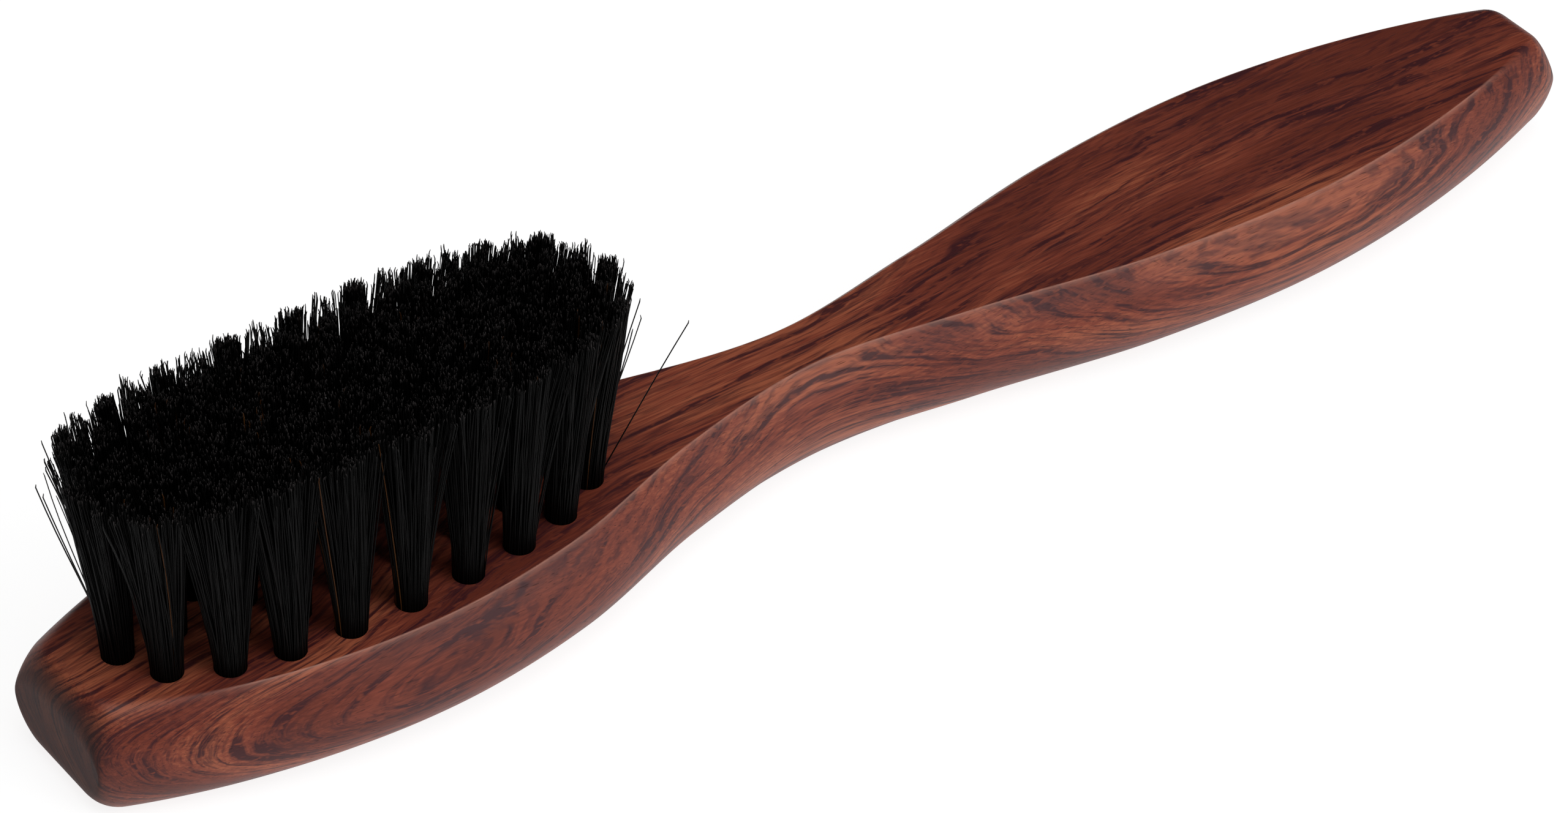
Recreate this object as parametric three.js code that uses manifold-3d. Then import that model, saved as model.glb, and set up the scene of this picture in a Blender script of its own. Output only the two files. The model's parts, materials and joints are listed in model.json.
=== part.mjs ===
// A beard brush: a one-piece hardwood body, flat on its working side and rounded on its back, with tufts
// of boar bristle in blind holes. Each tuft is folded round a flat wire anchor that bites into the walls
// of its hole. Millimetres. The brush lies on its back: +X runs from the head end to the handle end, +Z
// out through the bristles, and the origin is the middle of the footprint.
import * as THREE from "three";
import { mergeVertices } from "three/addons/utils/BufferGeometryUtils.js";
import Module from "manifold-3d";

const wasm = await Module();
wasm.setup();

// The body
const length = 175;
const thickness = 11.6;
const sideBulge = 2.8; // how far the side stands out past the crisp edge of the top face
const headBulgeDepth = 6.3; // from the top face down to the widest line of the side, at the head end
const handleBulgeDepth = 4.7; // and at the handle end
const backReach = 5.5; // sideways reach of the round between the side and the flat of the back
const headBackReach = 3.7; // the same round at the very head end, which is left crisper
const headBackLength = 26; // and grows to the full round over this length
const backShare = 0.85; // most of the half width that this round takes, where the neck is slim
// Half width of the flat top face, by distance from the head end: head, slim neck, handle
const outline = [
  [0, 4.5],
  [14, 9.6],
  [32, 12.05],
  [48, 10.3],
  [64, 5.5],
  [80, 2.85],
  [98, 5.1],
  [118, 8.6],
  [140, 9.65],
  [160, 6.85],
  [175, 2.45],
];
// The ends are cut off blunt and rounded over: how far along X, and how far in from each face
const headRound = { along: 2.6, side: 0.5, top: 3.4, back: 2.9 };
const handleRound = { along: 3, side: 0.7, top: 4, back: 3.8 };
// The crisp edge is only broken along the brush, and fades into a wide soft edge at both ends
const brokenEdge = 0.2;
const softEdge = { head: 2.4, handle: 1.1 };
const fadeLength = 14;
// Facets
const endSteps = 5; // sections in each rounded end
const sectionPitch = 5.2; // about this far between sections elsewhere
const bulgeSteps = 4;
const backSteps = 5;

// One quarter of the bristle pattern, as [along, across] from its centre, which is mirrored both ways
const patternCentre = 31; // from the head end
const outerRing = [
  [0, 8.8],
  [6.2, 8.65],
  [12.1, 8.05],
  [17.5, 6.85],
  [22.3, 4.3],
  [24.6, 0],
];
const innerRing = [
  [3.1, 4.4],
  [9.1, 4.2],
  [14.8, 3.2],
  [19.2, 0],
];
const middleRow = [
  [0, 0],
  [6.1, 0],
  [12, 0],
];

// Holes and tufts
const holeRadius = 1.5;
const holeDepth = 7;
const holeSides = 10;
const bristleHeight = 20; // above the top face
const rootRadius = 1.35;
const tipRadius = 2.1;
// How far the tips lean outwards: along the brush at its ends, less towards the middle of the pattern, and
// across it at the corners, from cornerStart of the way along
const endLean = { head: 2.4, handle: 1.5 };
const cornerLean = 1.8;
const cornerStart = 0.4;
const cornerReach = 4; // a tuft this far off the middle line takes all of it
const straightRoot = 0.6; // a tuft stays straight this far out of its hole
const tuftSides = 8;
const rootGap = 0.2; // under the fold of a tuft

// Flat wire anchors
const anchorLength = 3.5; // longer than the hole is wide, so that its ends hold in the wood
const anchorHeight = 1.6;
const anchorThickness = 0.35;
const anchorLift = 0.9; // the folded bristles lie between the hole's bottom and the anchor
const anchorGap = 0.08;

const wood = new THREE.MeshStandardMaterial({ color: "#7a3b28", roughness: 0.42, metalness: 0 });
const bristle = new THREE.MeshStandardMaterial({ color: "#0d0c0d", roughness: 0.45, metalness: 0 });
const wire = new THREE.MeshStandardMaterial({ color: "#c9a457", roughness: 0.35, metalness: 1 });

const brush = new THREE.Group();
const headEnd = -length / 2;

function addPiece(name, geometry, material) {
  const mesh = new THREE.Mesh(geometry, material);
  mesh.name = name;
  brush.add(mesh);
}

// A closed geometry as a solid for cuts, and a solid as a geometry
function toSolid(geometry) {
  const bare = geometry.clone();
  bare.deleteAttribute("normal");
  bare.deleteAttribute("uv");
  const merged = mergeVertices(bare, 1e-4);
  const vertProperties = merged.attributes.position.array;
  const triVerts = new Uint32Array(merged.index.array);
  return new wasm.Manifold(new wasm.Mesh({ numProp: 3, vertProperties, triVerts }));
}

function toGeometry(solid) {
  const mesh = solid.getMesh();
  const geometry = new THREE.BufferGeometry();
  geometry.setAttribute("position", new THREE.BufferAttribute(mesh.vertProperties, 3));
  geometry.setIndex(new THREE.BufferAttribute(mesh.triVerts, 1));
  return geometry;
}

// Rings of equally many points [x, y, z], joined to each other and closed at both ends
function loft(rings) {
  const count = rings[0].length;
  const index = [];
  for (let ring = 0; ring < rings.length - 1; ring++) {
    for (let i = 0; i < count; i++) {
      const a = ring * count + i;
      const b = ring * count + ((i + 1) % count);
      index.push(a, b, b + count, a, b + count, a + count);
    }
  }
  const last = (rings.length - 1) * count;
  for (let i = 1; i < count - 1; i++) {
    index.push(0, i + 1, i, last, last + i, last + i + 1);
  }
  const geometry = new THREE.BufferGeometry();
  geometry.setAttribute("position", new THREE.Float32BufferAttribute(rings.flat(2), 3));
  geometry.setIndex(index);
  return geometry;
}

// Slope of the outline at one of its points, from the points on both sides of it
function outlineSlope(i) {
  const last = outline.length - 1;
  const rise = (k) => (outline[k + 1][1] - outline[k][1]) / (outline[k + 1][0] - outline[k][0]);
  if (i === 0) return 2 * rise(0) - outlineSlope(1);
  if (i === last) return 2 * rise(last - 1) - outlineSlope(last - 1);
  const before = outline[i][0] - outline[i - 1][0];
  const after = outline[i + 1][0] - outline[i][0];
  return (rise(i - 1) * after + rise(i) * before) / (before + after);
}

// Smooth curve through the outline's points
function topHalfWidth(fromHead) {
  const i = Math.min(outline.findLastIndex(([x]) => x <= fromHead), outline.length - 2);
  const [x0, y0] = outline[i];
  const [x1, y1] = outline[i + 1];
  const span = x1 - x0;
  const t = (fromHead - x0) / span;
  const bend = (1 - t) * outlineSlope(i) - t * outlineSlope(i + 1);
  return y0 + (y1 - y0) * t * t * (3 - 2 * t) + span * t * (1 - t) * bend;
}

// How much of the crisp edge is taken off
function edgeCut(fromHead) {
  const near = (distance) => Math.max(0, 1 - distance / fadeLength) ** 2;
  const head = (softEdge.head - brokenEdge) * near(fromHead);
  const handle = (softEdge.handle - brokenEdge) * near(length - fromHead);
  return brokenEdge + head + handle;
}

// One side of the section, as [y, z] from the flat top face down to the flat of the back
function sideCurve(fromHead) {
  const topHalf = topHalfWidth(fromHead);
  const cut = edgeCut(fromHead);
  const bulgeDepth = THREE.MathUtils.lerp(headBulgeDepth, handleBulgeDepth, fromHead / length);
  const widest = topHalf + sideBulge;
  const grown = Math.min(1, fromHead / headBackLength);
  const fullReach = headBackReach + (backReach - headBackReach) * grown * grown * (3 - 2 * grown);
  const reach = Math.min(fullReach, backShare * widest);
  const points = [[topHalf - cut, thickness]];
  for (let i = 0; i <= bulgeSteps; i++) {
    const depth = THREE.MathUtils.lerp(cut, bulgeDepth, i / bulgeSteps);
    points.push([widest - sideBulge * (1 - depth / bulgeDepth) ** 2, thickness - depth]);
  }
  for (let i = 1; i <= backSteps; i++) {
    const turn = (i / backSteps) * (Math.PI / 2);
    const y = widest - reach * (1 - Math.cos(turn));
    points.push([y, (thickness - bulgeDepth) * (1 - Math.sin(turn))]);
  }
  return points;
}

// How much of an end's rounding a section takes: 0 where it starts, 1 on the end face
function roundShare(fromEnd, along) {
  const left = Math.max(0, 1 - fromEnd / along);
  return 1 - Math.sqrt(1 - left * left);
}

function bodySection(fromHead) {
  const side = sideCurve(fromHead);
  const head = roundShare(fromHead, headRound.along);
  const handle = roundShare(length - fromHead, handleRound.along);
  const pulledIn = (face) => head * headRound[face] + handle * handleRound[face];
  const widest = topHalfWidth(fromHead) + sideBulge;
  const middle = thickness / 2;
  const near = side.map(([y, z]) => {
    const inset = pulledIn(z > middle ? "top" : "back");
    return [-y * (1 - pulledIn("side") / widest), middle + (z - middle) * (1 - inset / middle)];
  });
  const far = near.map(([y, z]) => [-y, z]).reverse();
  return [...near, ...far].map(([y, z]) => [headEnd + fromHead, y, z]);
}

function sectionStations() {
  const stations = [];
  for (let i = 0; i < endSteps; i++) {
    stations.push(headRound.along * (1 - Math.cos((i / endSteps) * (Math.PI / 2))));
  }
  const middle = length - headRound.along - handleRound.along;
  const spans = Math.round(middle / sectionPitch);
  for (let i = 0; i <= spans; i++) {
    stations.push(headRound.along + (middle * i) / spans);
  }
  for (let i = endSteps - 1; i >= 0; i--) {
    stations.push(length - handleRound.along * (1 - Math.cos((i / endSteps) * (Math.PI / 2))));
  }
  return stations;
}

// How far along and across the tips of the tuft at this place in the pattern lean
function tipLean(x, y) {
  const share = x / outerRing.at(-1)[0];
  const along = share * (share < 0 ? endLean.head : endLean.handle);
  const corner = Math.max(0, Math.abs(share) - cornerStart) / (1 - cornerStart);
  const across = cornerLean * corner * Math.max(-1, Math.min(1, y / cornerReach));
  return [along, across];
}

// A quarter of a ring or row, mirrored to all its places and put in order round the pattern's centre
function mirrored(quarter) {
  const places = [];
  for (const [along, across] of quarter) {
    for (const x of along ? [-along, along] : [0]) {
      for (const y of across ? [-across, across] : [0]) {
        places.push({ x: headEnd + patternCentre + x, y, lean: tipLean(x, y) });
      }
    }
  }
  const turn = ({ x, y }) => Math.atan2(y, x - headEnd - patternCentre);
  return places.sort((a, b) => turn(a) - turn(b) || a.x - b.x);
}

const holeFloor = thickness - holeDepth;
const anchorCentre = holeFloor + anchorLift + anchorHeight / 2;

function anchorBox(gap) {
  const around = 2 * gap;
  const box = new THREE.BoxGeometry(anchorLength + around, anchorThickness + around, anchorHeight + around);
  return box.translate(0, 0, anchorCentre);
}

// What is taken out of the body for one tuft: a blind hole, and the nicks that the anchor's ends make
function holeCutter() {
  const height = holeDepth + 1;
  const drill = new THREE.CylinderGeometry(holeRadius, holeRadius, height, holeSides);
  drill.rotateX(Math.PI / 2).translate(0, 0, holeFloor + height / 2);
  return toSolid(drill).add(toSolid(anchorBox(anchorGap)));
}

function tuftRing(radius, [centreX, centreY], z) {
  const ring = [];
  for (let i = 0; i < tuftSides; i++) {
    const turn = ((i + 0.5) / tuftSides) * 2 * Math.PI;
    ring.push([centreX + radius * Math.cos(turn), centreY + radius * Math.sin(turn), z]);
  }
  return ring;
}

// A tuft: round and tight in its hole, flaring to the tips, with a window at the fold for its anchor
function tuftGeometry(lean) {
  const bundle = loft([
    tuftRing(rootRadius, [0, 0], holeFloor + rootGap),
    tuftRing(rootRadius, [0, 0], thickness + straightRoot),
    tuftRing(tipRadius, lean, thickness + bristleHeight),
  ]);
  return toGeometry(toSolid(bundle).subtract(toSolid(anchorBox(anchorGap))));
}

const groups = { ring: mirrored(outerRing), inner: mirrored(innerRing), middle: mirrored(middleRow) };
const cutter = holeCutter();
let body = toSolid(loft(sectionStations().map(bodySection)));
for (const { x, y } of Object.values(groups).flat()) {
  body = body.subtract(cutter.translate([x, y, 0]));
}
addPiece("brush_body", toGeometry(body), wood);

for (const [group, places] of Object.entries(groups)) {
  places.forEach(({ x, y, lean }, i) => {
    const label = `${group}_${String(i + 1).padStart(2, "0")}`;
    addPiece(`tuft_${label}`, tuftGeometry(lean).translate(x, y, 0), bristle);
    if (group === "ring") {
      addPiece(`anchor_${label}`, anchorBox(0).translate(x, y, 0), wire);
    }
  });
}

export default brush;
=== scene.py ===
import json
import math
import random

import bpy
import numpy as np
from mathutils import Matrix, Vector, noise
from mathutils.geometry import delaunay_2d_cdt

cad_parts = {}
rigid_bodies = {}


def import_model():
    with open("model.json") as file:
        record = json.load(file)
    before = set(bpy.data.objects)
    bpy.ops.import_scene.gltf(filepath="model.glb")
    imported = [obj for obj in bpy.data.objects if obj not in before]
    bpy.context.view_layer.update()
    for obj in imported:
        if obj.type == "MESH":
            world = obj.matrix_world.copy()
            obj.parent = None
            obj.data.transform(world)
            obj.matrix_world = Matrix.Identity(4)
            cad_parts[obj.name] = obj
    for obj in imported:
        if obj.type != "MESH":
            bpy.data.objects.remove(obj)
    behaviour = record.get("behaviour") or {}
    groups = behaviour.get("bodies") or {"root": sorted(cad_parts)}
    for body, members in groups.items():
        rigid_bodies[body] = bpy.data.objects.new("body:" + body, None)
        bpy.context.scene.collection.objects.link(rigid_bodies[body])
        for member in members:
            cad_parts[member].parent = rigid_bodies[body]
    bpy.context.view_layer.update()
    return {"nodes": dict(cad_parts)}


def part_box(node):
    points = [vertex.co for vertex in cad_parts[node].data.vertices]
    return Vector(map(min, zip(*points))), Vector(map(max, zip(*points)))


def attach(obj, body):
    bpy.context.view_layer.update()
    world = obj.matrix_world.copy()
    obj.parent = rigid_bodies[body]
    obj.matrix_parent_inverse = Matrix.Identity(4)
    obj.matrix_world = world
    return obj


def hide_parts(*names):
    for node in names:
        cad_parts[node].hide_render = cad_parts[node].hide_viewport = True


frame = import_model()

# A beard brush lying on its back: a hardwood body, tufts of boar bristle, and a flat wire anchor in each
# tuft's hole. +X runs from the head end to the handle end and +Z out through the bristles. Sizes in the
# dictionaries are millimetres, and every mesh is made in millimetres and scaled as it is finished.

mm = 0.001
print("frame loaded with", len(frame["nodes"]), "nodes")


def fromHex(text):
    channels = [int(text[i:i + 2], 16) / 255 for i in (1, 3, 5)]
    linear = [c / 12.92 if c <= 0.04045 else ((c + 0.055) / 1.055) ** 2.4 for c in channels]
    return (*linear, 1.0)


# Adds a node with its settings. An input, by name or number, is a value, a socket to link from, or a
# node whose first output it links from
def addNode(tree, kind, inputs=None, stops=None, **settings):
    node = tree.nodes.new(kind)
    for name, value in settings.items():
        setattr(node, name, value)
    for socket, value in (inputs or {}).items():
        if isinstance(value, bpy.types.Node):
            tree.links.new(value.outputs[0], node.inputs[socket])
        elif isinstance(value, bpy.types.NodeSocket):
            tree.links.new(value, node.inputs[socket])
        else:
            node.inputs[socket].default_value = value
    if stops:
        ramp = node.color_ramp.elements
        while len(ramp) < len(stops):
            ramp.new(1.0)
        for element, (position, colour) in zip(ramp, stops):
            element.position = position
            element.color = fromHex(colour)
    return node


def newMaterial(name):
    material = bpy.data.materials.new(name)
    material.use_nodes = True
    material.node_tree.nodes.clear()
    return material, material.node_tree


def nodeBox(name):
    low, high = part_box(name)
    return np.array(low) / mm, np.array(high) / mm


# A mesh piece from points in millimetres. Faces with different counts of corners can be mixed
def newPiece(name, points, faces, materials, slots=None):
    mesh = bpy.data.meshes.new(name)
    mesh.from_pydata([tuple(p) for p in np.asarray(points) * mm], [], faces)
    mesh.validate()
    mesh.update()
    mesh.polygons.foreach_set("use_smooth", np.ones(len(mesh.polygons), dtype=bool))
    for material in materials:
        mesh.materials.append(material)
    if slots is not None:
        mesh.polygons.foreach_set("material_index", np.asarray(slots, dtype=np.int32))
    piece = bpy.data.objects.new(name, mesh)
    bpy.context.scene.collection.objects.link(piece)
    return piece


# Stores a number for each point of a piece, which its material reads by name
def markPoints(piece, name, values):
    marks = piece.data.attributes.new(name, "FLOAT", "POINT")
    marks.data.foreach_set("value", np.asarray(values, dtype=np.float32).ravel())


# Camera

camera = {
    "aim": (-4.35, 4.46, 0.0),
    "distance": 498.7,
    "azimuth": 39.8,  # from straight along +Y towards +X
    "elevation": 39.86,
    "roll": 3.42,
    "lens": 120.1,
    "sensor": 36.0,
}


def addCamera():
    azimuth = math.radians(camera["azimuth"])
    elevation = math.radians(camera["elevation"])
    ahead = Vector((
        math.sin(azimuth) * math.cos(elevation),
        math.cos(azimuth) * math.cos(elevation),
        -math.sin(elevation),
    ))
    right = ahead.cross(Vector((0, 0, 1))).normalized()
    right = Matrix.Rotation(-math.radians(camera["roll"]), 3, ahead) @ right
    up = right.cross(ahead)
    data = bpy.data.cameras.new("camera")
    data.lens = camera["lens"]
    data.sensor_width = camera["sensor"]
    data.clip_start = 0.01
    data.clip_end = 20
    eye = bpy.data.objects.new("camera", data)
    bpy.context.scene.collection.objects.link(eye)
    turn = Matrix((right, up, -ahead)).transposed().to_4x4()
    place = (Vector(camera["aim"]) - ahead * camera["distance"]) * mm
    eye.matrix_world = Matrix.Translation(place) @ turn
    bpy.context.scene.camera = eye


addCamera()
print("camera set")


# Bubinga, planed and sanded, wiped with oil: satin, reddish brown, with dark purple veins that run
# in lens shapes, small orange flecks in them and short fine pores

wood = {
    "light": "#9b543a",
    "middle": "#7b3929",
    "deep": "#60291d",
    "vein": "#37141a",
    "fleck": "#8a412a",
    "pore": "#2b1210",
    "edge": "#bd8a78",  # painted highlight: the crisp edge is painted lighter, as where it catches the light
    "endGrain": "#1b0e0f",
    # the growth layers stand nearly upright at the head end and twist back towards the handle, in degrees.
    # Every From and To is a distance from the head end
    "layerTilt": {"head": 12.0, "handle": 60.0},
    "twistFrom": 14.0,
    "twistTo": 50.0,
    # near the head end the layers are also folded about a line along the brush, foldHeight above the back
    "fold": 0.16,
    "foldHeight": 6.8,
    "foldFrom": 18.0,
    "foldTo": 58.0,
    # the grain wanders across the handle by this much
    "wander": 5.6,
    "wanderFrom": 72.0,
    "wanderTo": 132.0,
    "ringRadius": 60.0,
    # wavers of the layers: the size of each along, across and up, how far it moves them, and its shift
    "wavers": (
        ((60, 22, 22), 4.0, 3.7),
        ((15, 4.0, 4.0), 1.1, 8.1),
        ((2.6, 0.6, 0.6), 0.16, 1.9),
    ),
    # noise over millimetres: sizes, detail, roughness and shift. These sizes are along the grain,
    # through the layers and along a layer
    "layered": {
        "tone": ((45, 4.5, 25), 2.0, 0.55, 11.3),
        "vein": ((19.0, 0.44, 4.5), 3.0, 0.62, 2.4),
        "thread": ((6, 0.22, 1.4), 2.0, 0.55, 7.7),
    },
    # and these are along, across and up. Real fibres are far finer, and are drawn coarse enough to show
    "straight": {
        "fibre": ((7, 0.22, 0.22), 3.0, 0.6, 5.2),
        "fleck": ((1.3, 0.34, 0.34), 1.0, 0.5, 4.4),
        "pore": ((1.9, 0.1, 0.1), 0.0, 0.5, 9.9),
    },
    # where each one starts to show, where it is full, and how strongly it then covers what is under it
    "cover": {
        "vein": (0.49, 0.61, 0.92),
        "thread": (0.5, 0.64, 0.6),
        "fleck": (0.55, 0.7, 0.6),
        "pore": (0.7, 0.8, 0.6),
        "endGrain": (0.5, 0.92, 0.8),
    },
    # painted highlight: how strongly the crisp edge is painted lighter
    "edgeHighlightStrength": 0.5,
    "fibreShare": 0.35,  # of the light and dark of the ground, the rest is from the broader tone
    "headBend": 0.006,  # the grain turns in towards the head end, within headBendReach of it
    "headBendReach": 20.0,
    "roughness": 0.38,
    # rougher by these where each one shows
    "fibreRoughness": 0.16,
    "poreRoughness": 0.25,
    "endGrainRoughness": 0.3,
    "bumpDepth": 0.03,
}


def makeWood(headX):
    material, tree = newMaterial("oiled bubinga, sanded satin")
    place = addNode(tree, "ShaderNodeTexCoord")
    inMm = addNode(tree, "ShaderNodeVectorMath", {
        0: place.outputs["Object"],
        "Scale": 1 / mm,
    }, operation="SCALE")
    along, across, up = addNode(tree, "ShaderNodeSeparateXYZ", {0: inMm}).outputs
    fromHead = addNode(tree, "ShaderNodeMath", {0: along, 1: headX}, operation="SUBTRACT")

    # smooth changes along the brush
    tilts = [math.radians(wood["layerTilt"][end]) for end in ("head", "handle")]
    changes = {}
    for name, start, end in (
        ("twist", *tilts),
        ("wander", 0.0, wood["wander"]),
        ("fold", wood["fold"], 0.0),
    ):
        changes[name] = addNode(tree, "ShaderNodeMapRange", {
            "Value": fromHead,
            "From Min": wood[name + "From"],
            "From Max": wood[name + "To"],
            "To Min": start,
            "To Max": end,
        }, interpolation_type="SMOOTHSTEP")

    # the grain turns in at the head end and wanders on the handle
    short = addNode(tree, "ShaderNodeMath", {0: wood["headBendReach"], 1: fromHead}, operation="SUBTRACT")
    short = addNode(tree, "ShaderNodeMath", {0: short, 1: 0.0}, operation="MAXIMUM")
    bend = addNode(tree, "ShaderNodeMath", {0: short, 1: short}, operation="MULTIPLY")
    bend = addNode(tree, "ShaderNodeMath", {0: bend, 1: wood["headBend"]}, operation="MULTIPLY")
    bent = addNode(tree, "ShaderNodeMath", {0: across, 1: bend}, operation="ADD")
    bent = addNode(tree, "ShaderNodeMath", {0: bent, 1: changes["wander"]}, operation="SUBTRACT")

    # level is the place along a layer across the grain, depth the place through the layers
    sine = addNode(tree, "ShaderNodeMath", {0: changes["twist"]}, operation="SINE")
    cosine = addNode(tree, "ShaderNodeMath", {0: changes["twist"]}, operation="COSINE")
    upAlong = addNode(tree, "ShaderNodeMath", {0: up, 1: cosine}, operation="MULTIPLY")
    acrossAlong = addNode(tree, "ShaderNodeMath", {0: bent, 1: sine}, operation="MULTIPLY")
    level = addNode(tree, "ShaderNodeMath", {0: upAlong, 1: acrossAlong}, operation="ADD")
    upThrough = addNode(tree, "ShaderNodeMath", {0: up, 1: sine}, operation="MULTIPLY")
    acrossThrough = addNode(tree, "ShaderNodeMath", {0: bent, 1: cosine}, operation="MULTIPLY")
    flat = addNode(tree, "ShaderNodeMath", {0: upThrough, 1: acrossThrough}, operation="SUBTRACT")
    square = addNode(tree, "ShaderNodeMath", {0: level, 1: level}, operation="MULTIPLY")
    depth = addNode(tree, "ShaderNodeMath", {
        0: square,
        1: 0.5 / wood["ringRadius"],
        2: flat,
    }, operation="MULTIPLY_ADD")
    fromFold = addNode(tree, "ShaderNodeMath", {0: up, 1: wood["foldHeight"]}, operation="SUBTRACT")
    square = addNode(tree, "ShaderNodeMath", {0: fromFold, 1: fromFold}, operation="MULTIPLY")
    fold = addNode(tree, "ShaderNodeMath", {0: changes["fold"], 1: square}, operation="MULTIPLY")
    depth = addNode(tree, "ShaderNodeMath", {0: depth, 1: fold}, operation="SUBTRACT")
    for sizes, amount, shift in wood["wavers"]:
        spot = addNode(tree, "ShaderNodeVectorMath", {
            0: inMm,
            1: [1 / size for size in sizes],
            2: [shift] * 3,
        }, operation="MULTIPLY_ADD")
        waver = addNode(tree, "ShaderNodeTexNoise", {
            "Vector": spot,
            "Scale": 1.0,
            "Detail": 1.0,
            "Roughness": 0.5,
        })
        waver = addNode(tree, "ShaderNodeMath", {0: waver, 1: 0.5}, operation="SUBTRACT")
        depth = addNode(tree, "ShaderNodeMath", {0: waver, 1: amount, 2: depth}, operation="MULTIPLY_ADD")

    inLayers = addNode(tree, "ShaderNodeCombineXYZ", {0: along, 1: depth, 2: level})
    figure = {}
    for kind, space in (("layered", inLayers), ("straight", inMm)):
        for name, (sizes, detail, roughness, shift) in wood[kind].items():
            spot = addNode(tree, "ShaderNodeVectorMath", {
                0: space,
                1: [1 / size for size in sizes],
                2: [shift] * 3,
            }, operation="MULTIPLY_ADD")
            figure[name] = addNode(tree, "ShaderNodeTexNoise", {
                "Vector": spot,
                "Scale": 1.0,
                "Detail": detail,
                "Roughness": roughness,
            })
    # the cut ends of the fibres drink more oil, so they are darker and greyer
    facing = addNode(tree, "ShaderNodeSeparateXYZ", {0: place.outputs["Normal"]})
    figure["endGrain"] = addNode(tree, "ShaderNodeMath", {0: facing}, operation="ABSOLUTE")

    covers = {}
    for name, (start, full, strength) in wood["cover"].items():
        covers[name] = addNode(tree, "ShaderNodeMapRange", {
            "Value": figure[name],
            "From Min": start,
            "From Max": full,
            "To Min": 0.0,
            "To Max": strength,
        })
    # threads take the veins' colour, and flecks show only in either of them
    threads = covers.pop("thread")
    covers["vein"] = addNode(tree, "ShaderNodeMath", {0: threads, 1: covers["vein"]}, operation="MAXIMUM")
    covers["fleck"] = addNode(tree, "ShaderNodeMath", {
        0: covers["fleck"],
        1: covers["vein"],
    }, operation="MULTIPLY")
    # painted highlight: a thin line along the crisp edge is painted lighter, as where it catches the light
    edgeHighlight = addNode(tree, "ShaderNodeAttribute", attribute_name="paintedEdgeHighlight").outputs["Fac"]
    covers["edge"] = addNode(tree, "ShaderNodeMath", {0: edgeHighlight, 1: wood["edgeHighlightStrength"]}, operation="MULTIPLY")

    share = wood["fibreShare"]
    broad = addNode(tree, "ShaderNodeMath", {0: figure["tone"], 1: 1 - share}, operation="MULTIPLY")
    mixed = addNode(tree, "ShaderNodeMath", {
        0: figure["fibre"],
        1: share,
        2: broad,
    }, operation="MULTIPLY_ADD")
    stops = ((0.38, wood["deep"]), (0.5, wood["middle"]), (0.6, wood["light"]))
    colour = addNode(tree, "ShaderNodeValToRGB", {0: mixed}, stops).outputs[0]
    for name in ("vein", "fleck", "pore", "edge", "endGrain"):
        colour = addNode(tree, "ShaderNodeMix", {
            0: covers[name],
            6: colour,
            7: fromHex(wood[name]),
        }, data_type="RGBA").outputs[2]

    gloss = wood["roughness"]
    for name, cover in (
        ("fibre", figure["fibre"]),
        ("pore", covers["pore"]),
        ("endGrain", covers["endGrain"]),
    ):
        gloss = addNode(tree, "ShaderNodeMath", {
            0: cover,
            1: wood[name + "Roughness"],
            2: gloss,
        }, operation="MULTIPLY_ADD")
    raised = addNode(tree, "ShaderNodeMath", {0: figure["fibre"], 1: 0.35}, operation="MULTIPLY")
    relief = addNode(tree, "ShaderNodeMath", {
        0: covers["pore"],
        1: -1.0,
        2: raised,
    }, operation="MULTIPLY_ADD")
    bump = addNode(tree, "ShaderNodeBump", {
        "Strength": 0.5,
        "Distance": wood["bumpDepth"] * mm,
        "Height": relief,
    })
    shader = addNode(tree, "ShaderNodeBsdfPrincipled", {
        "Base Color": colour,
        "Roughness": gloss,
        "IOR": 1.45,
        "Specular IOR Level": 0.3,
        "Normal": bump.outputs[0],
    })
    addNode(tree, "ShaderNodeOutputMaterial", {"Surface": shader.outputs[0]})
    return material


# Boar bristle, dyed black, bundled and trimmed: near black with a dull shine along each hair

bristle = {
    "black": "#040404",
    "faded": "#0d0b0b",
    "undyed": "#5c3a1c",
    "undyedDark": "#3a2210",
    "undyedShare": 0.005,
    "paleTipAndGlint": "#3f3b3b",  # the trimmed ends are painted paler: partly their own paler cut ends, partly painted highlight where the tips catch the light
    "height": 20.0,  # above the wood
    "rootRadius": 1.5,
    "thickness": 0.14,
    "perLeg": 150,  # each tuft's hairs are folded in two, so it shows twice this many
    "openSpread": 2.1,  # how far tips spread where no other tuft stands
    "crossing": 1.28,  # tips reach this share of the way to the line between two tufts, or past it
    "widestMeeting": 3.8,  # a farther tuft than this sets no limit
    "farthest": 4.2,
    # how far the tips lean outwards: along the brush at its ends, and across it at the pattern's corners
    "endLean": {"head": 2.4, "handle": 1.5},
    "cornerLean": {"head": 1.8, "handle": 0.6},
    "cornerStart": 0.4,
    "cornerReach": 4.0,
    "straight": 0.3,  # how far hairs stand straight up out of the hole
    "legSteps": 7,
    "flare": (1.0, 1.6),  # the power that a hair's bend follows up its height
    "bow": 0.2,
    "wayward": 0.26,
    "curl": 0.09,  # the trimmed tips bend over this far, each its own way
    "tipLength": 0.35,
    "unevenness": 0.3,
    "tallest": 0.5,  # no hair stands more than this above the usual height
    "clumps": 11,
    "clumpHeight": 0.16,
    "clumping": 0.3,
    "sides": 5,
    "mottle": 400.0,  # features to the metre
}


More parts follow.
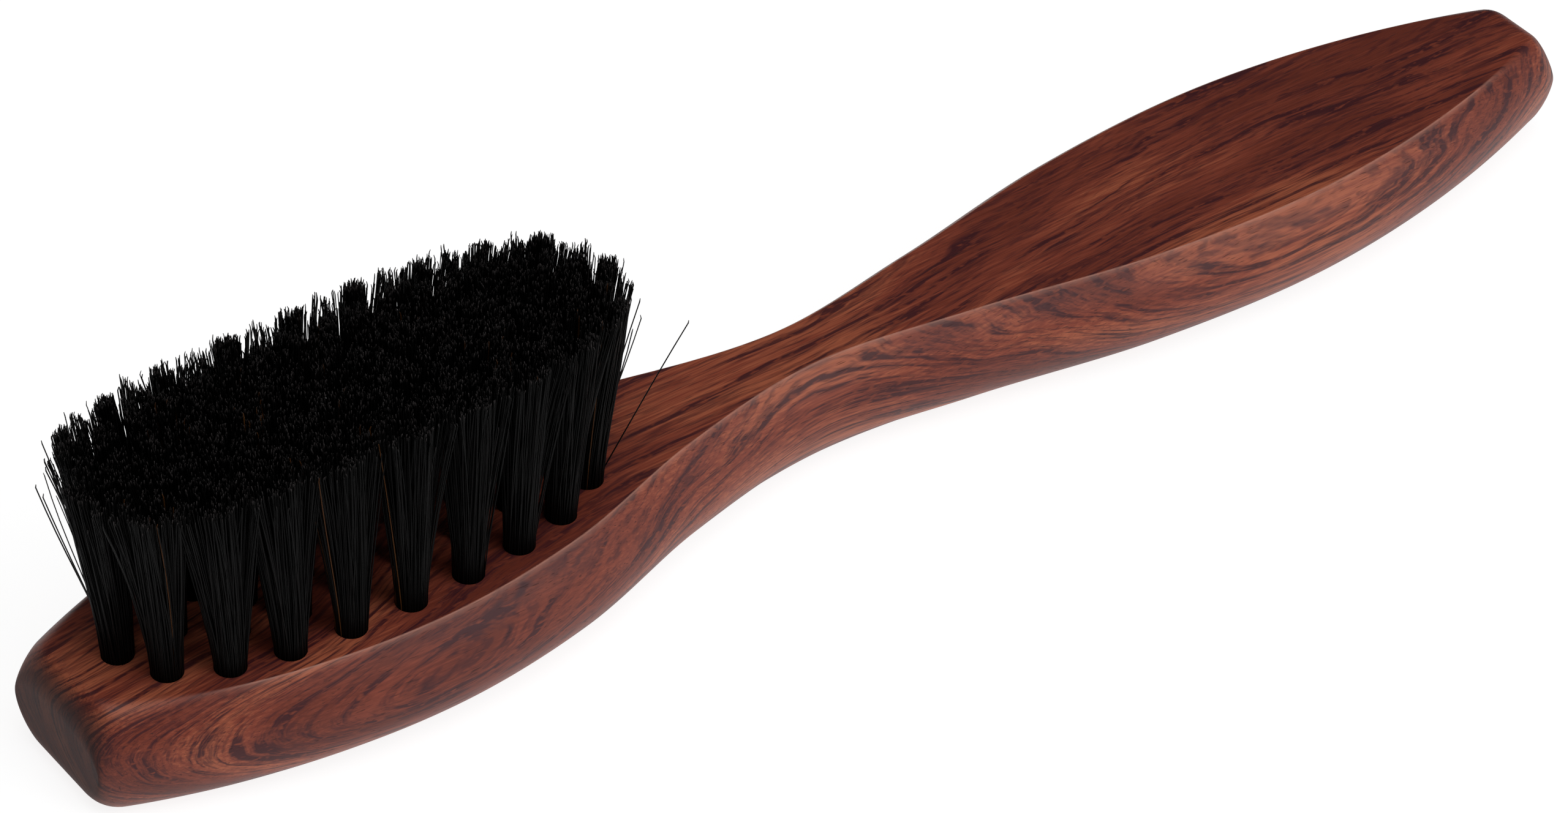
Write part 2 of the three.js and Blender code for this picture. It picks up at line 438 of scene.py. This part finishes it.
def makeBristle(name, dark, light):
    material, tree = newMaterial(name)
    hair = addNode(tree, "ShaderNodeAttribute", attribute_name="hairShade")
    place = addNode(tree, "ShaderNodeTexCoord")
    mottle = addNode(tree, "ShaderNodeTexNoise", {
        "Vector": place.outputs["Object"],
        "Scale": bristle["mottle"],
        "Detail": 2.0,
    }).outputs["Fac"]
    share = addNode(tree, "ShaderNodeMath", {0: hair.outputs["Fac"], 1: mottle}, operation="MULTIPLY")
    colour = addNode(tree, "ShaderNodeMix", {
        0: share.outputs[0],
        6: fromHex(dark),
        7: fromHex(light),
    }, data_type="RGBA")
    # painted highlight on the trimmed tips, together with their paler cut ends
    tip = addNode(tree, "ShaderNodeAttribute", attribute_name="paleTipAndGlint").outputs["Fac"]
    colour = addNode(tree, "ShaderNodeMix", {
        0: tip,
        6: colour.outputs[2],
        7: fromHex(bristle["paleTipAndGlint"]),
    }, data_type="RGBA")
    gloss = addNode(tree, "ShaderNodeMath", {0: mottle, 1: 0.2, 2: 0.3}, operation="MULTIPLY_ADD")
    shader = addNode(tree, "ShaderNodeBsdfPrincipled", {
        "Base Color": colour.outputs[2],
        "Roughness": gloss.outputs[0],
        "IOR": 1.55,
        "Specular IOR Level": 0.05,
    })
    addNode(tree, "ShaderNodeOutputMaterial", {"Surface": shader.outputs[0]})
    return material


# Brass wire, rolled flat: fine draw lines along it

wire = {
    "dark": "#a98542",
    "light": "#d6b467",
    "drawLines": (120, 9000, 9000),  # features to the metre, long ones along the wire
    "length": 3.5,
    "height": 1.6,
    "thickness": 0.35,
    "lift": 0.9,  # above the hole's bottom, with the fold of the hairs under it
    "corner": 0.12,
}


def makeBrass():
    material, tree = newMaterial("brass wire, rolled flat")
    place = addNode(tree, "ShaderNodeTexCoord")
    lines = addNode(tree, "ShaderNodeMapping", {
        "Vector": place.outputs["Object"],
        "Scale": wire["drawLines"],
    })
    drawn = addNode(tree, "ShaderNodeTexNoise", {
        "Vector": lines.outputs[0],
        "Scale": 1.0,
        "Detail": 2.0,
    }).outputs["Fac"]
    stops = ((0.3, wire["dark"]), (0.7, wire["light"]))
    colour = addNode(tree, "ShaderNodeValToRGB", {0: drawn}, stops)
    gloss = addNode(tree, "ShaderNodeMath", {0: drawn, 1: 0.2, 2: 0.22}, operation="MULTIPLY_ADD")
    shader = addNode(tree, "ShaderNodeBsdfPrincipled", {
        "Base Color": colour.outputs[0],
        "Metallic": 1.0,
        "Roughness": gloss.outputs[0],
    })
    addNode(tree, "ShaderNodeOutputMaterial", {"Surface": shader.outputs[0]})
    return material


# The wooden body

bodyLow, bodyHigh = nodeBox("brush_body")
body = {
    "sideBulge": 2.8,
    "headBulgeDepth": 6.3,
    "handleBulgeDepth": 4.7,
    "backReach": 5.5,
    "headBackReach": 3.7,  # this round is crisper at the head end, and grows over headBackLength
    "headBackLength": 26.0,
    "backShare": 0.85,
    # half width of the flat top face, by distance from the head end
    "outline": (
        (0, 4.5),
        (14, 9.6),
        (32, 12.05),
        (48, 10.3),
        (64, 5.5),
        (80, 2.85),
        (98, 5.1),
        (118, 8.6),
        (140, 9.65),
        (160, 6.85),
        (175, 2.45),
    ),
    "headRound": {"along": 2.6, "side": 0.5, "top": 3.4, "back": 2.9},
    "handleRound": {"along": 3.0, "side": 0.7, "top": 4.0, "back": 3.8},
    "brokenEdge": 0.1,
    "edgeWaver": 0.45,  # the broken edge is sanded by hand, so its width wavers by this share
    "softEdge": {"head": 2.4, "handle": 1.1},
    "fadeLength": 14.0,
    "sectionPitch": 0.45,
    "endSteps": 14,
    "edgeSteps": 6,
    "bulgeSteps": 16,
    "backSteps": 14,
    "acrossSteps": 16,
    "rimPitch": 0.12,
    "topPitch": 1.0,
    "holeRadius": 1.48,
    "holeDepth": 7.0,
    "drillPoint": 0.35,
    "wallStep": 0.6,  # the first row of points in each hole's wall is this far down
    "holeSides": 48,
}
bodyLength = bodyHigh[0] - bodyLow[0]
bodyTop = bodyHigh[2]


def outlineSlope(i):
    line = body["outline"]
    last = len(line) - 1

    def rise(k):
        return (line[k + 1][1] - line[k][1]) / (line[k + 1][0] - line[k][0])

    if i == 0:
        return 2 * rise(0) - outlineSlope(1)
    if i == last:
        return 2 * rise(last - 1) - outlineSlope(last - 1)
    before = line[i][0] - line[i - 1][0]
    after = line[i + 1][0] - line[i][0]
    return (rise(i - 1) * after + rise(i) * before) / (before + after)


def topHalfWidth(fromHead):
    line = body["outline"]
    i = max(k for k in range(len(line) - 1) if line[k][0] <= fromHead or k == 0)
    (x0, y0), (x1, y1) = line[i], line[i + 1]
    t = (fromHead - x0) / (x1 - x0)
    bend = (1 - t) * outlineSlope(i) - t * outlineSlope(i + 1)
    return y0 + (y1 - y0) * t * t * (3 - 2 * t) + (x1 - x0) * t * (1 - t) * bend


def edgeCut(fromHead):
    cut = body["brokenEdge"]
    waver = noise.noise(Vector((fromHead / 1.7, 3.1, 0)))
    waver += noise.noise(Vector((fromHead / 0.6, 7.7, 0))) * 0.4
    total = cut * (1 + body["edgeWaver"] * waver)
    for end, distance in (("head", fromHead), ("handle", bodyLength - fromHead)):
        near = max(0.0, 1 - distance / body["fadeLength"]) ** 2
        total += (body["softEdge"][end] - cut) * near
    return total


# One side of the section as (y, z), from the top face round to the flat of the back
def sideCurve(fromHead):
    topHalf = topHalfWidth(fromHead)
    cut = edgeCut(fromHead)
    share = fromHead / bodyLength
    bulgeDepth = body["headBulgeDepth"] * (1 - share) + body["handleBulgeDepth"] * share
    widest = topHalf + body["sideBulge"]
    grown = min(1.0, fromHead / body["headBackLength"])
    grown = grown * grown * (3 - 2 * grown)
    fullReach = body["headBackReach"] + (body["backReach"] - body["headBackReach"]) * grown
    reach = min(fullReach, body["backShare"] * widest)

    def bulge(depth):
        return widest - body["sideBulge"] * (1 - depth / bulgeDepth) ** 2

    points = []
    for i in range(body["edgeSteps"]):
        t = i / body["edgeSteps"]
        y = (1 - t) ** 2 * (topHalf - cut) + 2 * t * (1 - t) * topHalf + t * t * bulge(cut)
        points.append((y, bodyTop - cut * t * t))
    for i in range(body["bulgeSteps"] + 1):
        depth = cut + (bulgeDepth - cut) * i / body["bulgeSteps"]
        points.append((bulge(depth), bodyTop - depth))
    for i in range(1, body["backSteps"] + 1):
        turn = i / body["backSteps"] * math.pi / 2
        points.append((widest - reach * (1 - math.cos(turn)), (bodyTop - bulgeDepth) * (1 - math.sin(turn))))
    return points


def roundShare(fromEnd, along):
    left = max(0.0, 1 - fromEnd / along)
    return 1 - math.sqrt(1 - left * left)


# The far half of a section, as (y, z), with its ends rounded in
def bodySection(fromHead):
    head = roundShare(fromHead, body["headRound"]["along"])
    handle = roundShare(bodyLength - fromHead, body["handleRound"]["along"])

    def pulledIn(face):
        return head * body["headRound"][face] + handle * body["handleRound"][face]

    widest = topHalfWidth(fromHead) + body["sideBulge"]
    middle = bodyTop / 2
    section = []
    for y, z in sideCurve(fromHead):
        inset = pulledIn("top" if z > middle else "back")
        section.append((y * (1 - pulledIn("side") / widest), middle + (z - middle) * (1 - inset / middle)))
    return section


def sectionStations():
    steps = body["endSteps"]
    head = body["headRound"]["along"]
    handle = body["handleRound"]["along"]
    closing = [1 - math.cos(i / steps * math.pi / 2) for i in range(steps)]
    headEnd = [head * share for share in closing]
    handleEnd = [bodyLength - handle * share for share in reversed(closing)]
    spans = round((bodyLength - head - handle) / body["sectionPitch"])
    between = [head + (bodyLength - head - handle) * i / spans for i in range(spans + 1)]
    return headEnd + between + handleEnd


# Where each tuft's hole is: the middle of the lowest ring of its solid
def holeCentre(name):
    points = np.array([v.co for v in frame["nodes"][name].data.vertices]) / mm
    lowest = points[points[:, 2] < points[:, 2].min() + 0.01]
    return lowest[:, :2].mean(axis=0)


tuftNames = sorted(name for name in frame["nodes"] if name.startswith("tuft_"))
holes = {name: holeCentre(name) for name in tuftNames}


def buildBody(material):
    points, faces = [], []

    def addPoint(x, y, z):
        points.append((x, y, z))
        return len(points) - 1

    # rings of side points, and rows across the top and the back. Each row runs from the near to the far side
    stations = sectionStations()
    steps = body["acrossSteps"]
    near, far, topRows, backRows = [], [], [], []

    def addRow(x, nearPoint, farPoint, y, z):
        inner = [addPoint(x, y * (2 * j / steps - 1), z) for j in range(1, steps)]
        return [nearPoint, *inner, farPoint]

    first, last = body["endSteps"], len(stations) - 1 - body["endSteps"]
    for k, fromHead in enumerate(stations):
        x = bodyLow[0] + fromHead
        section = bodySection(fromHead)
        near.append([addPoint(x, -y, z) for y, z in section])
        far.append([addPoint(x, y, z) for y, z in section])
        backRows.append(addRow(x, near[-1][-1], far[-1][-1], *section[-1]))
        flat = first < k < last
        topRows.append(None if flat else addRow(x, near[-1][0], far[-1][0], *section[0]))

    def addStrip(a, b):
        for j in range(len(a) - 1):
            faces.append((a[j], a[j + 1], b[j + 1], b[j]))

    for k in range(len(stations) - 1):
        addStrip(near[k + 1], near[k])
        addStrip(far[k], far[k + 1])
        addStrip(backRows[k], backRows[k + 1])
        if topRows[k] and topRows[k + 1]:
            addStrip(topRows[k + 1], topRows[k])

    # the two blunt end faces, as rows from top to back
    for k, headSide in ((0, True), (len(stations) - 1, False)):
        rows = [topRows[k]]
        for i in range(1, len(near[k]) - 1):
            x, y, z = points[far[k][i]]
            rows.append(addRow(x, near[k][i], far[k][i], y, z))
        rows.append(backRows[k])
        for upper, lower in zip(rows, rows[1:]):
            addStrip(*((upper, lower) if headSide else (lower, upper)))

    # the flat top face, with its holes
    loop = [near[k][0] for k in range(first, last)] + topRows[last][:-1]
    loop += [far[k][0] for k in range(last, first, -1)] + topRows[first][:0:-1]
    places = [points[i][:2] for i in loop]
    owners = list(loop)
    edges = [(i, (i + 1) % len(loop)) for i in range(len(loop))]
    rims = []
    for x, y in holes.values():
        rim = []
        for i in range(body["holeSides"]):
            turn = i / body["holeSides"] * 2 * math.pi
            spot = (x + body["holeRadius"] * math.cos(turn), y + body["holeRadius"] * math.sin(turn))
            rim.append(addPoint(*spot, bodyTop))
            places.append(spot)
            owners.append(rim[-1])
        start = len(places) - len(rim)
        edges += [(start + i, start + (i + 1) % len(rim)) for i in range(len(rim))]
        rims.append(rim)

    def clearOfHoles(x, y, gap):
        return all(math.hypot(x - hx, y - hy) > body["holeRadius"] + gap for hx, hy in holes.values())

    def addInner(x, y):
        places.append((x, y))
        owners.append(addPoint(x, y, bodyTop))

    # a row close behind the crisp edge keeps the face's shading flat
    for k in range(first + 1, last):
        for side in (near, far):
            x, y, z = points[side[k][0]]
            addInner(x, y - math.copysign(body["rimPitch"], y))
    pitch = body["topPitch"]
    for row in range(1, int(bodyLength / pitch)):
        x = bodyLow[0] + row * pitch
        half = topHalfWidth(row * pitch) - 2 * pitch / 3
        if not points[near[first][0]][0] + pitch / 2 < x < points[near[last][0]][0] - pitch / 2:
            continue
        for column in range(-int(half / pitch), int(half / pitch) + 1):
            y = (column + 0.5 * (row % 2)) * pitch
            if abs(y) < half and clearOfHoles(x, y, 0.3 * pitch):
                addInner(x, y)

    result = delaunay_2d_cdt([Vector(p) for p in places], edges, [], 1, 1e-5)
    spots, triangles, sources = result[0], result[2], result[3]
    for triangle in triangles:
        middle = sum((spots[i] for i in triangle), Vector((0, 0))) / 3
        if clearOfHoles(middle.x, middle.y, -0.001):
            corners = [owners[sources[i][0]] for i in triangle]
            a, b, c = (spots[i] for i in triangle)
            turned = (b - a).cross(c - a) < 0
            faces.append(tuple(reversed(corners)) if turned else tuple(corners))

    # the walls and drilled floors of the holes
    floor = bodyTop - body["holeDepth"]
    for rim, (x, y) in zip(rims, holes.values()):
        upper = rim
        for z in (bodyTop - body["wallStep"], bodyTop - body["holeDepth"] / 2, floor):
            lower = [addPoint(points[i][0], points[i][1], z) for i in rim]
            for i in range(len(rim)):
                j = (i + 1) % len(rim)
                faces.append((upper[i], upper[j], lower[j], lower[i]))
            upper = lower
        tip = addPoint(x, y, floor - body["drillPoint"])
        for i in range(len(rim)):
            faces.append((upper[i], upper[(i + 1) % len(rim)], tip))

    piece = newPiece("brush_wood", points, faces, [material])
    piece.data.set_sharp_from_angle(angle=math.radians(50))
    # painted highlight along the crisp edge: the points of the broken edge get a share that the wood paints
    # lighter, full where the edge is crisp
    edgeHighlightAmount = np.zeros(len(points), dtype=np.float32)
    for k, fromHead in enumerate(stations):
        crisp = min(1.0, body["brokenEdge"] / edgeCut(fromHead)) ** 2
        for side in (near, far):
            for i in range(1, body["edgeSteps"] + 1):
                edgeHighlightAmount[side[k][i]] = crisp * math.sin(i / (body["edgeSteps"] + 1) * math.pi)
    markPoints(piece, "paintedEdgeHighlight", edgeHighlightAmount)
    return piece


# Tufts

stray = {
    "share": 0.035,  # of the hairs in the outer ring lean out on their own
    "reach": 1.5,
    "drop": 1.5,  # they may be shorter by up to this
    "long": (
        # long hairs, by the spots of their roots and tips from the head end, and their heights
        {"root": (54.9, -4.5), "tip": (62.8, -6.0), "height": 15.0},
        {"root": (56.7, -0.9), "tip": (58.8, -4.3), "height": 16.2},
        {"root": (56.4, -1.1), "tip": (57.6, -4.6), "height": 15.4},
        {"root": (7.4, 5.0), "tip": (1.4, 3.5), "height": 19.0},
        {"root": (7.0, 4.4), "tip": (1.7, 2.9), "height": 18.2},
        {"root": (7.6, 5.3), "tip": (3.0, 4.7), "height": 18.6},
    ),
}


# How far the tips of a tuft reach in a direction, before they meet the tips of the next tuft
def tipReach(centre, others, direction):
    reach = bristle["openSpread"]
    limit = bristle["widestMeeting"]
    for other in others:
        gap = other - centre
        towards = float(gap @ direction)
        if towards > 0.3 * np.linalg.norm(gap):
            meeting = float(gap @ gap) / (2 * towards)
            if meeting < limit:
                limit = meeting
                reach = max(bristle["openSpread"] * 0.9, meeting) * bristle["crossing"]
    return min(reach, bristle["farthest"])


# How far a tuft's tips lean, along and across the brush
def tipLean(centre):
    patternReach = max(spot[0] for spot in holes.values()) - patternCentre[0]
    x, y = centre - patternCentre
    share = x / patternReach
    end = "head" if x < 0 else "handle"
    corner = max(0, abs(share) - bristle["cornerStart"]) / (1 - bristle["cornerStart"])
    sideways = max(-1, min(1, y / bristle["cornerReach"]))
    return np.array((share * bristle["endLean"][end], bristle["cornerLean"][end] * corner * sideways))


# An even, jittered spread over half of a disc
def rootSpots(rng):
    spots = []
    golden = math.pi * (3 - math.sqrt(5))
    count = bristle["perLeg"] * 2
    for i in range(count):
        radius = math.sqrt((i + 0.5) / count) * (bristle["rootRadius"] - bristle["thickness"] / 2)
        turn = i * golden + 0.4
        if math.sin(turn) > 0:
            spots.append((radius * math.cos(turn) + rng.uniform(-0.03, 0.03), radius * math.sin(turn)))
    return spots


# One leg of each hair: its root and tip about the tuft's centre, height, flare, bow and curl
def hairLegs(centre, others, onRing, rng, spots):
    lean = tipLean(centre)
    # the tips are drawn together in small clumps
    clumps = []
    for i in range(bristle["clumps"]):
        turn = rng.uniform(0, 2 * math.pi)
        direction = np.array((math.cos(turn), math.sin(turn)))
        clumps.append(direction * tipReach(centre, others, direction) * math.sqrt(rng.random()))
    clumpHeights = [rng.gauss(0, bristle["clumpHeight"]) for clump in clumps]
    outward = centre - patternCentre
    outward = outward / max(np.linalg.norm(outward), 1e-6)
    legs = []
    for x, y in spots:
        root = np.array((x, y))
        share = np.linalg.norm(root) / bristle["rootRadius"]
        direction = root / max(np.linalg.norm(root), 1e-6)
        wayward = bristle["wayward"]
        direction = direction + np.array((rng.gauss(0, wayward), rng.gauss(0, wayward)))
        direction = direction / np.linalg.norm(direction)
        tip = direction * tipReach(centre, others, direction) * share ** 0.9
        pick = min(range(len(clumps)), key=lambda i: np.linalg.norm(clumps[i] - tip))
        tip = tip + (clumps[pick] - tip) * bristle["clumping"] * rng.uniform(0.3, 1.0)
        height = bristle["height"] + clumpHeights[pick] - abs(rng.gauss(0, bristle["unevenness"]))
        tip = tip + lean
        flare = rng.uniform(*bristle["flare"])
        if onRing and rng.random() < stray["share"] and direction @ outward > 0.2:
            tip = tip + outward * rng.uniform(0.3, 1.0) * stray["reach"]
            height -= rng.uniform(0, stray["drop"])
        bow = np.array((rng.gauss(0, bristle["bow"]), rng.gauss(0, bristle["bow"])))
        turn = rng.uniform(0, 2 * math.pi)
        curl = bristle["curl"] * rng.uniform(0.4, 1.4) * np.array((math.cos(turn), math.sin(turn)))
        legs.append((root, tip, min(height, bristle["height"] + bristle["tallest"]), flare, bow, curl))
    return legs


# The line of one leg from just above its hole to its tip, as rows of x, y, z about the tuft's centre
def legLine(leg):
    root, tip, height, flare, bow, curl = leg
    rows = []
    for i in range(bristle["legSteps"]):
        s = i / (bristle["legSteps"] - 1)
        flat = root + (tip - root) * s ** flare + bow * math.sin(math.pi * s) * s
        rows.append((*flat, bodyTop + bristle["straight"] + (height - bristle["straight"]) * s))
    # the trimmed tip
    x, y, z = rows[-1]
    rows.append((x + curl[0], y + curl[1], z + bristle["tipLength"]))
    return rows


# A whole hair: from one tip down its leg, under the anchor and up the other leg to the other tip
def hairLine(first, second):
    floor = bodyTop - body["holeDepth"]
    anchorTop = floor + wire["lift"] + wire["height"]
    anchorFoot = floor + wire["lift"]
    bend = []
    for leg, side in ((first, -1), (second, 1)):
        x, y = leg[0]
        beside = side * max(abs(y), wire["thickness"] / 2 + bristle["thickness"] / 2)
        bend.append([(x, y, anchorTop + 0.8), (x, beside, anchorTop), (x, beside, anchorFoot)])
    depth = 0.1 + 0.6 * abs(first[0][1]) / bristle["rootRadius"]
    x = (first[0][0] + second[0][0]) / 2
    width = abs(bend[0][2][1])
    under = [(x, -width * 0.7, anchorFoot - depth * 0.7), (x, 0, anchorFoot - depth)]
    under += [(x, width * 0.7, anchorFoot - depth * 0.7)]
    return legLine(first)[::-1] + bend[0] + under + bend[1][::-1] + legLine(second)


# Tubes along many lines at once: five sides, slightly thinner towards both ends, with pointed tips
def hairTubes(lines, thickness):
    lines = np.array(lines)
    count, steps, sides = len(lines), lines.shape[1], bristle["sides"]
    tangent = np.gradient(lines, axis=1)
    tangent /= np.linalg.norm(tangent, axis=2, keepdims=True)
    # an axis along the anchor is never in line with a hair
    across = np.cross(tangent, (1.0, 0.0, 0.0))
    across /= np.linalg.norm(across, axis=2, keepdims=True)
    other = np.cross(across, tangent)
    fromEnd = np.minimum(np.arange(steps), np.arange(steps)[::-1])
    taper = np.interp(fromEnd, (0, 1, 3, bristle["legSteps"]), (0.55, 0.85, 0.9, 1.0))
    radius = np.outer(thickness, taper) / 2
    turn = np.arange(sides) / sides * 2 * math.pi
    ring = (
        lines[:, :, None, :]
        + radius[:, :, None, None] * np.cos(turn)[None, None, :, None] * across[:, :, None, :]
        + radius[:, :, None, None] * np.sin(turn)[None, None, :, None] * other[:, :, None, :]
    )
    tips = np.stack((lines[:, 0] - tangent[:, 0] * 0.05, lines[:, -1] + tangent[:, -1] * 0.05), axis=1)
    perHair = steps * sides + 2
    points = np.concatenate((ring.reshape(count, -1, 3), tips), axis=1).reshape(-1, 3)
    step, side = np.meshgrid(np.arange(steps - 1), np.arange(sides), indexing="ij")
    a = (step * sides + side).ravel()
    b = (step * sides + (side + 1) % sides).ravel()
    walls = np.stack((a, b, b + sides, a + sides), axis=1)
    i = np.arange(sides)
    j = (i + 1) % sides
    end = (steps - 1) * sides
    caps = np.concatenate((
        np.stack((j, i, np.full(sides, steps * sides)), axis=1),
        np.stack((end + i, end + j, np.full(sides, steps * sides + 1)), axis=1),
    ))
    shift = np.arange(count) * perHair
    quads = (walls[None] + shift[:, None, None]).reshape(-1, 4)
    triangles = (caps[None] + shift[:, None, None]).reshape(-1, 3)
    everyHair = np.arange(count)
    hairOfFace = np.concatenate((np.repeat(everyHair, len(walls)), np.repeat(everyHair, len(caps))))
    return points, quads.tolist() + triangles.tolist(), hairOfFace, perHair


# Each hair has its own strip of the map, so that its tone is kept along its whole length
def layHairMap(piece, count, perHair, steps):
    mesh = piece.data
    layer = mesh.uv_layers.new(name="OFBake")
    corners = np.empty(len(mesh.loops), dtype=np.int32)
    mesh.loops.foreach_get("vertex_index", corners)
    hair, spot = np.divmod(corners, perHair)
    sides = bristle["sides"]
    step = np.clip(spot // sides, 0, steps - 1)
    step = np.where(spot == steps * sides, 0, step)
    starts = np.empty(len(mesh.polygons), dtype=np.int32)
    totals = np.empty(len(mesh.polygons), dtype=np.int32)
    mesh.polygons.foreach_get("loop_start", starts)
    mesh.polygons.foreach_get("loop_total", totals)
    turn = (spot % sides) / sides
    for start, total in zip(starts, totals):
        part = slice(start, start + total)
        if turn[part].max() - turn[part].min() > 0.5:
            turn[part] = np.where(turn[part] < 0.5, turn[part] + 1, turn[part])
    u = (hair + 0.1 + 0.8 * turn) / count
    v = 0.01 + 0.98 * step / (steps - 1)
    layer.data.foreach_set("uv", np.stack((u, v), axis=1).ravel().astype(np.float32))


def buildTuft(name, materials):
    centre = holes[name]
    others = [spot for other, spot in holes.items() if other != name and np.linalg.norm(spot - centre) < 9]
    onRing = "ring" in name
    rng = random.Random(name)
    spots = rootSpots(rng)
    here = hairLegs(centre, others, onRing, rng, [(x, -y) for x, y in spots])
    there = hairLegs(centre, others, onRing, rng, spots)
    for long in stray["long"]:
        root = np.array(long["root"]) + (bodyLow[0], 0)
        if name != min(holes, key=lambda other: np.linalg.norm(holes[other] - root)):
            continue
        root = root - centre
        root *= min(1, (bristle["rootRadius"] - 0.1) / np.linalg.norm(root))
        tip = np.array(long["tip"]) + (bodyLow[0], 0) - centre
        legs = here if root[1] < 0 else there
        pick = rng.randrange(len(legs))
        legs[pick] = (root, tip, long["height"], 1.0, legs[pick][4], legs[pick][5])
    lines = [hairLine(a, b) for a, b in zip(here, there)]
    thickness = np.array([bristle["thickness"] * rng.uniform(0.8, 1.12) for line in lines])
    points, faces, hairOfFace, perHair = hairTubes(lines, thickness)
    undyed = np.array([rng.random() < bristle["undyedShare"] for line in lines])
    points[:, :2] += centre
    piece = newPiece(name.replace("tuft", "bristles"), points, faces, materials, undyed[hairOfFace])
    tone = np.repeat([rng.random() ** 2 for line in lines], perHair)
    markPoints(piece, "hairShade", tone)
    # the rings and points at both cut ends, painted paler: partly pale cut ends, partly painted highlight on
    # the tips
    cut = np.zeros((len(lines), perHair))
    sides = bristle["sides"]
    ringPoints = len(lines[0]) * sides
    for first, last in (
        (0, sides),
        (ringPoints - sides, ringPoints),
        (ringPoints, ringPoints + 1),
        (ringPoints + 1, perHair),
    ):
        cut[:, first:last] = np.array([rng.random() ** 2 for line in lines])[:, None]
    markPoints(piece, "paleTipAndGlint", cut)
    layHairMap(piece, len(lines), perHair, len(lines[0]))
    return piece


patternCentre = np.mean([holes[name] for name in tuftNames], axis=0)


# A length of flat wire with rolled edges and cut ends
def buildAnchor(name, centre, material):
    floor = bodyTop - body["holeDepth"] + wire["lift"]
    half, corner = wire["thickness"] / 2, wire["corner"]
    section = []
    for y, z, start in ((1, 1, 0), (-1, 1, 90), (-1, -1, 180), (1, -1, 270)):
        for i in range(4):
            turn = math.radians(start + 30 * i)
            edgeY = y * (half - corner) + corner * math.cos(turn)
            edgeZ = z * (wire["height"] / 2 - corner) + corner * math.sin(turn)
            section.append((edgeY, edgeZ + wire["height"] / 2 + floor))
    points, faces = [], []
    count = len(section)
    ends = (-0.5, -0.485, 0.485, 0.5)
    for k, share in enumerate(ends):
        shrink = 0.93 if k in (0, len(ends) - 1) else 1.0
        for y, z in section:
            middle = floor + wire["height"] / 2
            x = centre[0] + share * wire["length"]
            points.append((x, centre[1] + y * shrink, middle + (z - middle) * shrink))
    for k in range(len(ends) - 1):
        for i in range(count):
            j = (i + 1) % count
            faces.append((k * count + i, (k + 1) * count + i, (k + 1) * count + j, k * count + j))
    faces.append(tuple(range(count)))
    faces.append(tuple(reversed(range((len(ends) - 1) * count, len(ends) * count))))
    piece = newPiece(name, points, faces, [material])
    piece.data.set_sharp_from_angle(angle=math.radians(40))
    return piece


woodFinish = makeWood(bodyLow[0])
bristleFinish = makeBristle("boar bristle, dyed black", bristle["black"], bristle["faded"])
undyedFinish = makeBristle("boar bristle, undyed", bristle["undyedDark"], bristle["undyed"])
brassFinish = makeBrass()

brushWood = buildBody(woodFinish)
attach(brushWood, "root")
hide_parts("brush_body")
print("body:", len(brushWood.data.polygons), "faces")

for name in tuftNames:
    tuft = buildTuft(name, [bristleFinish, undyedFinish])
    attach(tuft, "root")
    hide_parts(name)
    anchorName = name.replace("tuft", "anchor")
    anchor = buildAnchor(anchorName.replace("anchor", "wire"), holes[name], brassFinish)
    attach(anchor, "root")
    if anchorName in frame["nodes"]:
        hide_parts(anchorName)
print("tufts:", len(tuftNames), "with", len(tuft.data.polygons), "faces each")


# A white light table under soft boxes
studio = {
    "floorSize": 4000.0,
    "floorWhite": "#8c8c8c",
    "floorGlow": 0.85,
    "backdropGlow": 0.06,
    "lampDistance": 2500.0,
    "lamps": (
        {"name": "frontRight", "towards": (0.49, -0.71, 0.5), "size": 2000, "power": 33.0},
        {"name": "frontLeft", "towards": (-0.75, -0.45, 0.55), "size": 1800, "power": 1.5},
        {"name": "above", "towards": (-0.1, -0.2, 1.0), "size": 2000, "power": 34.0},
    ),
}


def addStudio():
    half = studio["floorSize"] / 2
    steps = 8
    points = [
        (-half + 2 * half * i / steps, -half + 2 * half * j / steps, 0)
        for j in range(steps + 1)
        for i in range(steps + 1)
    ]
    faces = []
    for j in range(steps):
        for i in range(steps):
            a = j * (steps + 1) + i
            faces.append((a, a + 1, a + steps + 2, a + steps + 1))
    material, tree = newMaterial("opal acrylic, matt")
    place = addNode(tree, "ShaderNodeTexCoord")
    cloud = addNode(tree, "ShaderNodeTexNoise", {"Vector": place.outputs["Object"], "Scale": 3.0})
    gloss = addNode(tree, "ShaderNodeMath", {
        0: cloud.outputs["Fac"],
        1: 0.1,
        2: 0.75,
    }, operation="MULTIPLY_ADD")
    shader = addNode(tree, "ShaderNodeBsdfPrincipled", {
        "Base Color": fromHex(studio["floorWhite"]),
        "Roughness": gloss.outputs[0],
        "Emission Color": (1, 1, 1, 1),
        "Emission Strength": studio["floorGlow"],
    })
    addNode(tree, "ShaderNodeOutputMaterial", {"Surface": shader.outputs[0]})
    floor = newPiece("light_table", points, faces, [material])

    world = bpy.data.worlds.new("studio")
    world.use_nodes = True
    world.node_tree.nodes["Background"].inputs["Color"].default_value = (1, 1, 1, 1)
    world.node_tree.nodes["Background"].inputs["Strength"].default_value = studio["backdropGlow"]
    bpy.context.scene.world = world

    for lamp in studio["lamps"]:
        data = bpy.data.lights.new(lamp["name"], "AREA")
        data.shape = "SQUARE"
        data.size = lamp["size"] * mm
        data.energy = lamp["power"]
        box = bpy.data.objects.new(lamp["name"], data)
        bpy.context.scene.collection.objects.link(box)
        towards = Vector(lamp["towards"]).normalized()
        place = Matrix.Translation(towards * studio["lampDistance"] * mm)
        box.matrix_world = place @ towards.to_track_quat("Z", "Y").to_matrix().to_4x4()


addStudio()
bpy.context.scene.view_settings.view_transform = "Standard"
print("studio set")
